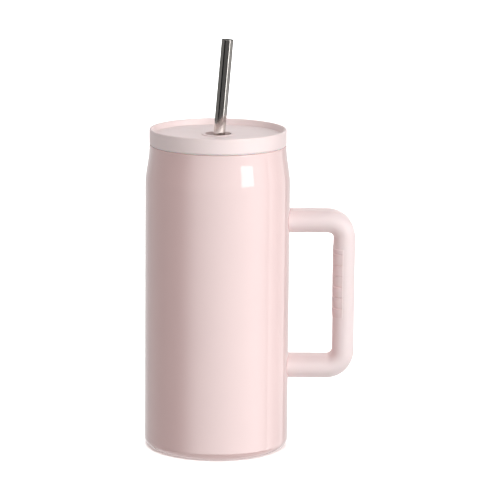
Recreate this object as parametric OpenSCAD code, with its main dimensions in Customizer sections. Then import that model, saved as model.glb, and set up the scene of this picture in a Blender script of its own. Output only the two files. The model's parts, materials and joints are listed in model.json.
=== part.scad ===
// Vacuum-insulated tumbler with a press-in lid, a leaning steel straw and a D-shaped handle.
// The origin is the centre of the foot, on the surface that the tumbler stands on.
// +Z is up and +X points from the axis to the handle. All sizes are in millimetres.

/* [Vessel] */
// Outer radius of the straight wall
body_r = 50; // [48:0.5:54]
// Outer radius of the neck, just under the lid
neck_r = 47.3; // [46.8:0.1:47.6]
// Height of the mouth above the surface it stands on
mouth_z = 212.3; // [205:0.1:230]
// Outer radius of the bottom corner
corner_r = 6; // [4:0.5:8]
// Thickness of both steel walls
wall = 0.6; // [0.5:0.05:0.8]
// Slope of the shoulder from upright, in degrees
shoulder_deg = 8.5; // [7.5:0.5:10]
// Inner radius of the liner
liner_r = 45.6; // [44.8:0.1:46]
// Height of the liner's floor
floor_z = 8; // [7.6:0.1:9]

/* [Lid] */
// Height of the rim's top above the mouth
lid_h = 11.2; // [10:0.1:13]
// Gap between the mouth and the lid's band
seam = 0.6; // [0.5:0.05:0.9]
// Depth of the deck below the rim's top
deck_drop = 4.2; // [3.5:0.1:5]
// Width of the rim's top
rim_w = 1.85; // [1.6:0.05:2.2]
// Depth of the plug below the mouth
plug_depth = 12.8; // [11.5:0.1:16]
// Outer radius of the ring round the straw hole
ring_r = 11.6; // [11.2:0.1:12.5]
// Radius of the straw hole's mouth
well_r = 9; // [8.5:0.1:9.2]

/* [Straw] */
// Outer diameter of the straw
straw_d = 8; // [7.5:0.1:8.2]
// Wall of the straw
straw_wall = 0.5; // [0.4:0.05:0.7]
// Length of the straw above the centre of its bush
straw_above = 75.2; // [60:0.1:90]
// Length of the straw below the centre of its bush
straw_below = 197; // [180:0.1:197]
// Lean of the straw towards the handle, in degrees
straw_lean = 4.6; // [0:0.1:6.5]

/* [Handle] */
// Height of the lower arm's centre line
arm_low_z = 56.85; // [50:0.05:65]
// Height of the upper arm's centre line
arm_high_z = 159.75; // [150:0.05:168]
// Thickness of the arms
arm_t = 15.4; // [15:0.1:17]
// Thickness of the grip
grip_t = 14.9; // [14.9:0.1:16]
// Width of the handle
handle_w = 24; // [23:0.5:28]
// Distance of the grip's outer face from the axis
handle_reach = 95.4; // [92:0.1:105]
// Height of the finger pad's lower end
pad_z = 93; // [88:0.5:95]
// Height of the finger pad
pad_h = 48; // [46:0.5:52]
// Distance between two finger grooves
groove_pitch = 7.62; // [6.8:0.01:7.8]

/* [Hidden] */

// Facets of a full turn
turn_fn = 144;
hole_fn = 48;
// Gap between two pieces that are joined or that bear on each other
fit = 0.05;
// Radial clearance of a piece that slides or turns
run = 0.07;

// Vessel
knee_r = 45;
blend_r = 60;
lip_r = 1;
neck_z = mouth_z - lip_r;
shoulder_drop = body_r - neck_r;
arc_drop = (knee_r + blend_r) * (1 - cos(shoulder_deg));
cone_h = (shoulder_drop - arc_drop) / tan(shoulder_deg);
knee_z = neck_z - (knee_r + blend_r) * sin(shoulder_deg) - cone_h;
foot_r = 40.5;
foot_up = 3.6;
liner_neck_r = 44.6;
liner_corner = 8;
taper_low_z = mouth_z - 27;
taper_high_z = mouth_z - 19;

// Base
plate_z = 3;
plate_r = foot_r - fit;
dimple_r = 7;
dimple_rise = 1.6;
dimple_slope = 1.5;
flange_drop = 1.8;
port_r = 1.2;
bead_r = 3.2;
bead_drop = 0.9;
getter_x = 22;
getter_r = 4.5;
getter_h = 2;
clip_t = 0.3;
cover_t = 0.8;
cover_r = plate_r - wall - 2 * fit;

// Lid
band_z = mouth_z + seam;
rim_z = mouth_z + lid_h;
deck_z = rim_z - deck_drop;
deck_t = 1.95;
ledge_t = 1.5;
ledge_r = 42;
band_t = 2.3;
rim_r = rim_w / 2;
seat_r = neck_r - 2.5;
edge_break = 0.4;
plug_r = 43.4;
plug_t = 1.7;
plug_z = mouth_z - plug_depth;
plug_floor = 1.8;
plug_lip_r = 44.2;
seal_t = 0.5;
seal_edge = 0.8;
fin_h = 1.6;
fin_count = 2;
fin_pitch = 3.4;
annulus_t = 1.5;

// Straw hole: the bush is a ball cut flat above and below, and it rocks in its seat
pivot_z = mouth_z - 2.3;
ball_r = 6.8;
ball_half = 4.2;
tube_r = 10.4;
ring_lip = 0.7;
well_floor_z = pivot_z + ball_half;
guide_r = 6.2;
straw_r = straw_d / 2;

// Handle
grip_in = handle_reach - grip_t;
inner_corner = 4;
corner_x = grip_in - inner_corner;
corner_high_z = arm_high_z - arm_t / 2 - inner_corner;
corner_low_z = arm_low_z + arm_t / 2 + inner_corner;
edge_r = 7.4;
arm_root = body_r - 6;
corner_steps = 10;
edge_steps = 7;
pad_proud = 0.35;
pad_deep = 1.4;
pad_reach = 6.4;
groove_reach = 5.6;
groove_h = 0.9;
groove_deep = 0.5;
groove_first = pad_z + 6.6;
groove_count = 6;

// Lugs and screws
saddle_t = 1.2;
saddle_w = 15;
saddle_h = 11;
tongue_w = 10;
tongue_h = 6.4;
tongue_x = 66;
screw_x = 59;
screw_r = 2;
screw_head_r = 3.8;
screw_head_h = 2.2;
screw_hole_r = 2.2;
sink_r = 4.3;
sink_wall = 1.2;
socket_r = 1.5;
socket_deep = 1.4;
plug_h = (arm_t - tongue_h) / 2 - sink_wall - screw_head_h - 2 * fit;

function arc(x, z, r, a0, a1, n) =
    [for (i = [0:n]) let (a = a0 + (a1 - a0) * i / n) [x + r * cos(a), z + r * sin(a)]];

function reversed(points) = [for (i = [len(points) - 1:-1:0]) points[i]];

// The shell's section line, a depth d inside its outer face
function shell_line(d) = concat(
    [[foot_r, d]],
    arc(body_r - corner_r, corner_r, corner_r - d, -90, 0, 10),
    arc(body_r - knee_r, knee_z, knee_r - d, 0, shoulder_deg, 5),
    arc(neck_r + blend_r, neck_z, blend_r + d, 180 + shoulder_deg, 180, 5),
    arc(neck_r - lip_r, mouth_z - lip_r, lip_r - d, 0, 90, 5),
    [[liner_neck_r + wall + fit, mouth_z - d]]
);

// The liner's section line, a depth d outside its inner face
function liner_line(d) = concat(
    [[0, floor_z - d]],
    arc(liner_r - liner_corner, floor_z + liner_corner, liner_corner + d, -90, 0, 10),
    [[liner_r + d, taper_low_z], [liner_neck_r + d, taper_high_z], [liner_neck_r + d, mouth_z]]
);

// The base plate's section line, at a height h above its underside
function plate_line(h) = [
    [port_r, plate_z + dimple_rise + h],
    [dimple_r, plate_z + dimple_rise + h],
    [dimple_r + dimple_slope, plate_z + h],
    [plate_r, plate_z + h]
];

// Thickness of the handle where its outward direction makes an angle a with +X
function handle_t(a) = grip_t + (arm_t - grip_t) * pow(sin(a), 2);

// One ring of the handle: a rounded rectangle across its path, about a corner centre
function handle_ring(x, z, a) = let (t = handle_t(a), mid = inner_corner + t / 2) [
    for (q = [0:3])
        for (i = [0:edge_steps])
            let (
                b = 90 * q + 90 * i / edge_steps,
                u = (q == 0 || q == 3 ? 1 : -1) * (t / 2 - edge_r) + edge_r * cos(b),
                v = (q < 2 ? 1 : -1) * (handle_w / 2 - edge_r) + edge_r * sin(b)
            )
            [x + (mid + u) * cos(a), v, z + (mid + u) * sin(a)]
];

module band(r0, r1, z0, z1) {
    translate([r0, z0]) square([r1 - r0, z1 - z0]);
}

module revolve() {
    rotate_extrude($fn = turn_fn) children();
}

// Anything along the straw's own axis, with its origin at the bush's centre
module on_straw_axis() {
    translate([0, 0, pivot_z]) rotate([0, straw_lean, 0]) children();
}

// A rounded rectangle, grown by g on every side
module grip_section(g) {
    tx = grip_t + 2 * g;
    ty = handle_w + 2 * g;
    r = edge_r + g;
    translate([grip_in + grip_t / 2, 0]) {
        square([tx - 2 * r, ty], center = true);
        square([tx, ty - 2 * r], center = true);
        for (x = [-1, 1], y = [-1, 1])
            translate([x * (tx / 2 - r), y * (ty / 2 - r)]) circle(r, $fn = hole_fn);
    }
}

// The part of the grip's section within a distance reach of its inner face
module inner_side(reach) {
    translate([grip_in - 2, -handle_w]) square([reach + 2, 2 * handle_w]);
}

module outer_shell() {
    color("pink") revolve() {
        polygon(concat(shell_line(0), reversed(shell_line(wall))));
        band(foot_r, foot_r + wall, 0, foot_up);
    }
}

module inner_liner() {
    color("silver") revolve() polygon(concat(liner_line(0), reversed(liner_line(wall))));
}

module outer_base() {
    color("silver") revolve() {
        polygon(concat(plate_line(0), reversed(plate_line(wall))));
        band(plate_r - wall, plate_r, plate_z - flange_drop, plate_z);
    }
}

module vacuum_bead() {
    bead_z = plate_z + dimple_rise;
    color("darkslategray") revolve() {
        band(0, port_r - fit, bead_z - fit, bead_z + wall);
        polygon([[0, bead_z - bead_drop], [bead_r / 2, bead_z - bead_drop],
            [bead_r, bead_z - fit], [0, bead_z - fit]]);
    }
}

module getter() {
    color("dimgray")
        translate([getter_x, 0, plate_z + wall + clip_t + 2 * fit])
            cylinder(r = getter_r, h = getter_h, $fn = hole_fn);
}

module getter_clip() {
    clip_l = getter_r + clip_t + fit;
    color("silver") translate([getter_x, 0, plate_z + wall + fit]) {
        translate([-clip_l, -getter_r / 2, 0]) cube([2 * clip_l, getter_r, clip_t]);
        for (side = [0, 1])
            mirror([side, 0, 0])
                translate([getter_r + fit, -getter_r / 2, 0]) cube([clip_t, getter_r, getter_h]);
    }
}

module base_cover() {
    color("silver") revolve() difference() {
        band(0, cover_r, plate_z - fit - cover_t, plate_z - fit);
        band(cover_r - 5, cover_r - 4, plate_z - fit - cover_t, plate_z - fit - cover_t / 2);
    }
}

// The room that a lug takes up, grown by g on every side
module lug_space(z, g) {
    intersection() {
        difference() {
            cylinder(r = body_r + fit + saddle_t + g, h = mouth_z, $fn = turn_fn);
            cylinder(r = body_r + fit - g, h = mouth_z, $fn = turn_fn);
        }
        translate([body_r - 4, -saddle_w / 2 - g, z - saddle_h / 2 - g])
            cube([8, saddle_w + 2 * g, saddle_h + 2 * g]);
    }
    translate([body_r + saddle_t / 2, -tongue_w / 2 - g, z - tongue_h / 2 - g])
        cube([tongue_x - body_r - saddle_t / 2 + g, tongue_w + 2 * g, tongue_h + 2 * g]);
}

module lug(z) {
    color("silver") difference() {
        lug_space(z, 0);
        translate([screw_x, 0, z - tongue_h])
            cylinder(r = screw_r + fit, h = 2 * tongue_h, $fn = hole_fn);
    }
}

module upper_lug() {
    lug(arm_high_z);
}

module lower_lug() {
    lug(arm_low_z);
}

// Height of the screw head's seat in the arm at height z
function seat_z(z) = z - tongue_h / 2 - fit - sink_wall;

module screw_hole(z) {
    translate([screw_x, 0, z - arm_t / 2 - 1]) {
        cylinder(r = screw_hole_r, h = arm_t / 2, $fn = hole_fn);
        cylinder(r = sink_r, h = seat_z(z) - z + arm_t / 2 + 1, $fn = hole_fn);
    }
}

// Both arms, both corners and the grip, in one sweep
module handle_sweep() {
    turns = [for (i = [0:corner_steps]) 90 * i / corner_steps];
    rings = concat(
        [handle_ring(arm_root, corner_high_z, 90)],
        [for (a = reversed(turns)) handle_ring(corner_x, corner_high_z, a)],
        [for (a = turns) handle_ring(corner_x, corner_low_z, -a)],
        [handle_ring(arm_root, corner_low_z, -90)]
    );
    n = len(rings[0]);
    last = len(rings) - 1;
    sides = [
        for (k = [0:last - 1])
            for (i = [0:n - 1])
                let (j = (i + 1) % n)
                [k * n + i, (k + 1) * n + i, (k + 1) * n + j, k * n + j]
    ];
    ends = [[for (i = [0:n - 1]) i], [for (i = [n - 1:-1:0]) last * n + i]];
    polyhedron(points = [for (ring = rings) each ring], faces = concat(sides, ends));
}

module handle_body() {
    color("lightpink") difference() {
        handle_sweep();
        cylinder(r = body_r + fit, h = mouth_z, $fn = turn_fn);
        for (z = [arm_low_z, arm_high_z]) {
            lug_space(z, 2 * fit);
            screw_hole(z);
        }
        translate([0, 0, pad_z - fit]) linear_extrude(pad_h + 2 * fit) difference() {
            inner_side(pad_reach + fit);
            grip_section(-pad_deep - fit);
        }
    }
}

module grip_pad() {
    color("palevioletred") difference() {
        translate([0, 0, pad_z]) linear_extrude(pad_h) difference() {
            intersection() {
                grip_section(pad_proud);
                inner_side(pad_reach);
            }
            grip_section(-pad_deep);
        }
        for (i = [0:groove_count - 1])
            translate([0, 0, groove_first + i * groove_pitch - groove_h / 2])
                linear_extrude(groove_h) difference() {
                    inner_side(groove_reach);
                    grip_section(-groove_deep);
                }
    }
}

module handle_screws() {
    color("silver") for (z = [arm_low_z, arm_high_z])
        translate([screw_x, 0, seat_z(z)]) difference() {
            union() {
                translate([0, 0, -screw_head_h])
                    cylinder(r = screw_head_r, h = screw_head_h, $fn = hole_fn);
                cylinder(r = screw_r, h = sink_wall + tongue_h, $fn = hole_fn);
            }
            translate([0, 0, -screw_head_h - 1])
                cylinder(r = socket_r, h = socket_deep + 1, $fn = 6);
        }
}

module screw_plugs() {
    color("lightpink") for (z = [arm_low_z, arm_high_z])
        translate([screw_x, 0, z - arm_t / 2])
            cylinder(r = sink_r - fit, h = plug_h, $fn = hole_fn);
}

module lid_seal() {
    seal_r = plug_r + run;
    skirt_low = plug_z + plug_floor + 2 * fit;
    skirt_high = band_z - fit;
    fin_r = liner_neck_r - run;
    color("rosybrown") revolve() {
        band(seal_r, seal_r + seal_t, skirt_low, skirt_high);
        band(seal_r, neck_r - seal_edge, mouth_z + fit, skirt_high);
        for (i = [0:fin_count - 1])
            translate([seal_r + seal_t, skirt_low + 1 + i * fin_pitch])
                polygon([[-fit, 0], [fin_r - seal_r - seal_t, fin_h * 0.7],
                    [fin_r - seal_r - seal_t, fin_h], [-fit, fin_h]]);
    }
}

module lid_shell() {
    wall_in = neck_r - band_t;
    color("mistyrose") revolve() {
        polygon([[wall_in, band_z], [neck_r - edge_break, band_z], [neck_r, band_z + edge_break],
            [neck_r, rim_z - rim_r], [neck_r - rim_w, rim_z - rim_r], [seat_r, deck_z],
            [wall_in, deck_z - deck_t]]);
        translate([neck_r - rim_r, rim_z - rim_r]) circle(rim_r, $fn = hole_fn);
        band(ledge_r, wall_in + fit, deck_z - deck_t - fit - ledge_t, deck_z - deck_t - fit);
        band(plug_r + fit, wall_in + fit, band_z, band_z + annulus_t);
    }
}

module lid_deck() {
    color("lavenderblush") revolve() band(tube_r + fit, seat_r - fit, deck_z - deck_t, deck_z);
}

module lid_plug() {
    top = deck_z - deck_t - 2 * fit - ledge_t;
    color("mistyrose") difference() {
        revolve() {
            band(plug_r - plug_t, plug_r, plug_z, top);
            band(guide_r, plug_lip_r, plug_z, plug_z + plug_floor);
            band(guide_r - 2, tube_r, plug_z + 1, pivot_z - fit);
        }
        translate([0, 0, pivot_z]) sphere(ball_r + run, $fn = turn_fn);
        translate([0, 0, plug_z - 1]) cylinder(r = guide_r, h = plug_depth, $fn = hole_fn);
    }
}

module straw_ring() {
    color("lightpink") difference() {
        revolve() {
            band(0, tube_r, pivot_z, deck_z + ring_lip / 2);
            band(0, ring_r - ring_lip / 2, deck_z + fit, deck_z + ring_lip);
            translate([ring_r - ring_lip / 2, deck_z + fit])
                intersection() {
                    circle(ring_lip / 2, $fn = hole_fn);
                    square(ring_lip);
                }
        }
        translate([0, 0, pivot_z]) sphere(ball_r + run, $fn = turn_fn);
        translate([0, 0, well_floor_z]) cylinder(r = well_r, h = lid_h, $fn = turn_fn);
    }
}

module straw_bush() {
    color("rosybrown") on_straw_axis() difference() {
        intersection() {
            sphere(ball_r, $fn = turn_fn);
            cylinder(r = ball_r + 1, h = 2 * ball_half, center = true, $fn = turn_fn);
        }
        cylinder(r = straw_r + run, h = 2 * ball_r, center = true, $fn = turn_fn);
    }
}

module straw() {
    color("gray") on_straw_axis() rotate_extrude($fn = turn_fn) {
        band(straw_r - straw_wall, straw_r, -straw_below + straw_wall / 2, straw_above - straw_wall / 2);
        for (end = [-straw_below + straw_wall / 2, straw_above - straw_wall / 2])
            translate([straw_r - straw_wall / 2, end]) circle(straw_wall / 2, $fn = hole_fn);
    }
}

outer_shell();
inner_liner();
outer_base();
vacuum_bead();
getter();
getter_clip();
base_cover();
upper_lug();
lower_lug();
handle_body();
grip_pad();
handle_screws();
screw_plugs();
lid_seal();
lid_shell();
lid_deck();
lid_plug();
straw_ring();
straw_bush();
straw();
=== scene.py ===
"""Insulated tumbler with a press-in lid, a steel straw and a moulded handle, dressed round its frame.

Every length is in metres. The origin is the centre of the foot, +Z is up, and +X points from the
axis to the handle. The pieces take their main sizes from the frame's boxes.
"""

from __future__ import annotations

import json
import logging
import math
from collections.abc import Sequence
from dataclasses import dataclass, replace
from enum import Enum

import bmesh
import bpy
from mathutils import Matrix, Vector


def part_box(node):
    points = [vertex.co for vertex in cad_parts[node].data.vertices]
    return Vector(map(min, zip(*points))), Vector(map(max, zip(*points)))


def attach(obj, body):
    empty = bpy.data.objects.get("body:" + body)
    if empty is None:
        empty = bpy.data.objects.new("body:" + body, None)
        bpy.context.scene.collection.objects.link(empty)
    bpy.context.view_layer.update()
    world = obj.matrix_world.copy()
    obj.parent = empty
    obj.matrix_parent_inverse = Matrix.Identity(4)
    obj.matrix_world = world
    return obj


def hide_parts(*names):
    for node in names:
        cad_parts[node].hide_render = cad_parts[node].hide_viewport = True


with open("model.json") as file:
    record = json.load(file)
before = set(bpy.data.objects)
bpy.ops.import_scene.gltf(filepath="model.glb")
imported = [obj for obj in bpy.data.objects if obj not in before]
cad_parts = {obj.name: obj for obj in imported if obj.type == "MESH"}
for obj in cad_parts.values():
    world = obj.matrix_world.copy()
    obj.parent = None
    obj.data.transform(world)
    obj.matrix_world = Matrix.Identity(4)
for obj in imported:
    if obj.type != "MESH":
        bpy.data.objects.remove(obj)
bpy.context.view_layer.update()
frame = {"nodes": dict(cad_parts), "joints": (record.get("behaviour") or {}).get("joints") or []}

TURN_STEPS = 192
ARC_STEP_DEG = 10.0
LEAST_ARC_STEPS = 6
HOLD = 0.0003
MERGE = 1e-7
CREASE_DEG = 32.0
SOFT_EDGE_DEG = 40.0
SOFT_EDGE_SEGMENTS = 3
CUTTER_PROUD = 0.002

LINE_RUN = 540.0

Colour = tuple[float, float, float]

log = logging.getLogger("tumbler")


# ---------------------------------------------------------------- outlines and meshes


class Plane(Enum):
    """The plane that an outline is drawn in."""

    UPRIGHT = "upright"
    LEVEL = "level"


@dataclass(frozen=True)
class Corner:
    """One corner of an outline, with the radius that rounds it."""

    across: float
    along: float
    radius: float = 0.0


class Outline:
    """A line of straight runs and rounded corners, which is spun or pushed into a piece."""

    def __init__(self, corners: Sequence[Corner], closed: bool = True, plane: Plane = Plane.UPRIGHT) -> None:
        """Draws the line.

        Args:
            corners: the corners in order.
            closed: whether the last corner joins the first.
            plane: the plane it lies in.
        """
        self.mesh = bmesh.new()
        self.plane = plane
        self.closed = closed
        self.last: bmesh.types.BMVert | None = None
        self.first: bmesh.types.BMVert | None = None
        points = [Vector((corner.across, corner.along)) for corner in corners]
        for i, corner in enumerate(corners):
            is_end = not closed and i in (0, len(corners) - 1)
            before = points[i - 1]
            after = points[(i + 1) % len(points)]
            if is_end or corner.radius <= 0:
                self._run_to(points[i])
            else:
                self._turn_at(points[i], before, after, corner.radius)
        if closed:
            self._run_to(self._flat(self.first.co), self.first)

    def _flat(self, point: Vector) -> Vector:
        """Gives a mesh point in the outline's own two directions."""
        return Vector((point.x, point.z if self.plane is Plane.UPRIGHT else point.y))

    def _solid(self, point: Vector) -> Vector:
        """Gives an outline point in the row frame.

        Args:
            point: the point, in the outline's own two directions.

        Returns:
            The point in the row frame.
        """
        if self.plane is Plane.UPRIGHT:
            return Vector((point.x, 0, point.y))
        return Vector((point.x, point.y, 0))

    def _run_to(self, point: Vector, end: bmesh.types.BMVert | None = None) -> None:
        """Draws a straight run, with a holding point near each of its ends.

        Args:
            point: where the run ends.
            end: the vertex it ends at, when that is there already.
        """
        if self.last is None:
            self.first = self.last = self.mesh.verts.new(self._solid(point))
            return
        start = self._flat(self.last.co)
        length = (point - start).length
        if length < MERGE:
            if end is not None:
                bmesh.ops.pointmerge(self.mesh, verts=[self.last, end], merge_co=end.co)
            return
        shares = [HOLD / length, 1 - HOLD / length] if length > 3 * HOLD else []
        for share in shares:
            self._step_to(self.mesh.verts.new(self._solid(start.lerp(point, share))))
        self._step_to(end or self.mesh.verts.new(self._solid(point)))

    def _step_to(self, vertex: bmesh.types.BMVert) -> None:
        """Joins the last point to a vertex."""
        self.mesh.edges.new((self.last, vertex))
        self.last = vertex

    def _turn_at(self, point: Vector, before: Vector, after: Vector, radius: float) -> None:
        """Draws a rounded corner.

        Args:
            point: the sharp corner.
            before: the corner before it.
            after: the corner after it.
            radius: the radius that rounds it.
        """
        inward = (point - before).normalized()
        onward = (after - point).normalized()
        turn = math.atan2(inward.x * onward.y - inward.y * onward.x, inward.dot(onward))
        side = math.copysign(1.0, turn)
        start = point - inward * radius * math.tan(abs(turn) / 2)
        centre = start + Vector((-inward.y, inward.x)) * radius * side
        self._run_to(start)
        steps = max(LEAST_ARC_STEPS, math.ceil(math.degrees(abs(turn)) / ARC_STEP_DEG))
        axis = (0, -1, 0) if self.plane is Plane.UPRIGHT else (0, 0, 1)
        spun = bmesh.ops.spin(
            self.mesh, geom=[self.last], cent=self._solid(centre), axis=axis, angle=turn, steps=steps
        )
        self.last = next(part for part in spun["geom_last"] if isinstance(part, bmesh.types.BMVert))

    def spin(self, steps: int = TURN_STEPS) -> bmesh.types.BMesh:
        """Turns the outline once round the upright axis.

        Args:
            steps: the number of steps in the turn.

        Returns:
            The closed mesh.
        """
        bmesh.ops.spin(
            self.mesh,
            geom=[*self.mesh.verts, *self.mesh.edges],
            axis=(0, 0, 1),
            angle=math.tau,
            steps=steps,
            use_merge=True,
        )
        bmesh.ops.remove_doubles(self.mesh, verts=self.mesh.verts, dist=MERGE)
        bmesh.ops.recalc_face_normals(self.mesh, faces=self.mesh.faces)
        return self.mesh

    def push(self, low: float, high: float) -> bmesh.types.BMesh:
        """Fills the level outline and pushes it from one height to another.

        Args:
            low: height of its underside.
            high: height of its top.

        Returns:
            The closed mesh.
        """
        bmesh.ops.contextual_create(self.mesh, geom=list(self.mesh.edges))
        bmesh.ops.translate(self.mesh, verts=self.mesh.verts, vec=(0, 0, low))
        pushed = bmesh.ops.extrude_face_region(self.mesh, geom=list(self.mesh.faces), use_keep_orig=True)
        tops = [part for part in pushed["geom"] if isinstance(part, bmesh.types.BMVert)]
        bmesh.ops.translate(self.mesh, verts=tops, vec=(0, 0, high - low))
        bmesh.ops.recalc_face_normals(self.mesh, faces=self.mesh.faces)
        return self.mesh


def smooth_faces(data: bpy.types.Mesh) -> None:
    """Shades a mesh smooth, but for its creases."""
    data.shade_smooth()
    data.set_sharp_from_angle(angle=math.radians(CREASE_DEG))


def finish_piece(name: str, mesh: bmesh.types.BMesh) -> bpy.types.Object:
    """Makes a shown piece of a mesh, smooth but for its creases.

    Args:
        name: the piece's name.
        mesh: the mesh, which is used up.

    Returns:
        The piece, at the origin.
    """
    data = bpy.data.meshes.new(name)
    mesh.to_mesh(data)
    mesh.free()
    smooth_faces(data)
    piece = bpy.data.objects.new(name, data)
    bpy.context.scene.collection.objects.link(piece)
    return piece


def clip_mesh(mesh: bmesh.types.BMesh, point: tuple, normal: tuple) -> None:
    """Cuts a closed mesh off at a plane, and closes it again.

    Args:
        mesh: the mesh.
        point: a point on the plane.
        normal: the direction that is cut off.
    """
    whole = [*mesh.verts, *mesh.edges, *mesh.faces]
    bmesh.ops.bisect_plane(mesh, geom=whole, plane_co=point, plane_no=normal, clear_outer=True)
    bmesh.ops.holes_fill(mesh, edges=[edge for edge in mesh.edges if edge.is_boundary])


def repeat_mesh(one: bmesh.types.BMesh, places: Sequence[Vector]) -> bmesh.types.BMesh:
    """Gives one mesh with a copy of another at each of several places.

    Args:
        one: the mesh that is copied, which is used up.
        places: where the copies go.

    Returns:
        The mesh.
    """
    mesh = bmesh.new()
    for place in places:
        join_meshes(mesh, one, Matrix.Translation(place))
    one.free()
    return mesh


def join_meshes(target: bmesh.types.BMesh, source: bmesh.types.BMesh, place: Matrix) -> None:
    """Adds a placed copy of one mesh to another.

    Args:
        target: the mesh that grows.
        source: the mesh that is copied.
        place: where the copy goes.
    """
    data = bpy.data.meshes.new("copy")
    source.to_mesh(data)
    data.transform(place)
    target.from_mesh(data)
    bpy.data.meshes.remove(data)


def bake_modifiers(piece: bpy.types.Object) -> None:
    """Makes a piece's modifiers part of its mesh.

    Args:
        piece: the piece.
    """
    bpy.context.view_layer.update()
    shaped = bpy.data.meshes.new_from_object(piece.evaluated_get(bpy.context.evaluated_depsgraph_get()))
    shaped.name = piece.name
    piece.modifiers.clear()
    piece.data = shaped


def cut_away(piece: bpy.types.Object, cutter: bmesh.types.BMesh) -> None:
    """Cuts one solid out of a piece.

    Args:
        piece: the piece.
        cutter: the solid, which is used up.
    """
    tool = finish_piece("cutter", cutter)
    cut = piece.modifiers.new("cut", "BOOLEAN")
    cut.operation = "DIFFERENCE"
    cut.solver = "EXACT"
    cut.object = tool
    bake_modifiers(piece)
    data = tool.data
    bpy.data.objects.remove(tool)
    bpy.data.meshes.remove(data)


def soften_edges(piece: bpy.types.Object, width: float) -> None:
    """Rounds a piece's sharp edges.

    Args:
        piece: the piece.
        width: width of the rounding.
    """
    bevel = piece.modifiers.new("soft_edges", "BEVEL")
    bevel.width = width
    bevel.segments = SOFT_EDGE_SEGMENTS
    bevel.limit_method = "ANGLE"
    bevel.angle_limit = math.radians(SOFT_EDGE_DEG)
    bevel.harden_normals = False
    bake_modifiers(piece)
    smooth_faces(piece.data)


# ---------------------------------------------------------------- node groups


class NodeSheet:
    """A node tree that is filled in by name."""

    def __init__(self, tree: bpy.types.NodeTree) -> None:
        """Keeps the tree that it fills in."""
        self.tree = tree

    def add(self, kind: str, sockets: dict | None = None, **settings: object) -> bpy.types.Node:
        """Adds a node.

        Args:
            kind: the node's type without its ShaderNode prefix.
            sockets: values or output sockets for its inputs, by name or number.
            settings: the node's own settings.

        Returns:
            The node.
        """
        node = self.tree.nodes.new("ShaderNode" + kind)
        for name, value in settings.items():
            setattr(node, name, value)
        for key, value in (sockets or {}).items():
            if isinstance(value, bpy.types.NodeSocket):
                self.tree.links.new(value, node.inputs[key])
            else:
                node.inputs[key].default_value = value
        return node

    def math(self, operation: str, first: object, second: object = 0.0) -> bpy.types.NodeSocket:
        """Adds a sum of one or two values and gives its result."""
        return self.add("Math", {0: first, 1: second}, operation=operation).outputs[0]

    def spread(
        self, value: object, low: object, high: object, to_low: object, to_high: object
    ) -> bpy.types.NodeSocket:
        """Maps a value from one range to another.

        Args:
            value: the value.
            low: the range's low end.
            high: the range's high end.
            to_low: what the low end becomes.
            to_high: what the high end becomes.

        Returns:
            The mapped value's socket.
        """
        sockets = {"Value": value, "From Min": low, "From Max": high, "To Min": to_low, "To Max": to_high}
        return self.add("MapRange", sockets, interpolation_type="SMOOTHSTEP").outputs[0]

    def blend(self, share: object, first: object, second: object) -> bpy.types.NodeSocket:
        """Mixes two colours by a share and gives the result."""
        sockets = {0: share, 6: first, 7: second}
        return self.add("Mix", sockets, data_type="RGBA").outputs[2]

    def noise(self, place: object, scale: object, detail: float, rough: float = 0.5) -> bpy.types.NodeSocket:
        """Adds a noise pattern.

        Args:
            place: where it is read.
            scale: its scale.
            detail: its levels of detail.
            rough: how strong the finer levels are.

        Returns:
            The noise's value socket.
        """
        sockets = {"Vector": place, "Scale": scale, "Detail": detail, "Roughness": rough}
        return self.add("TexNoise", sockets).outputs[0]


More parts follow.
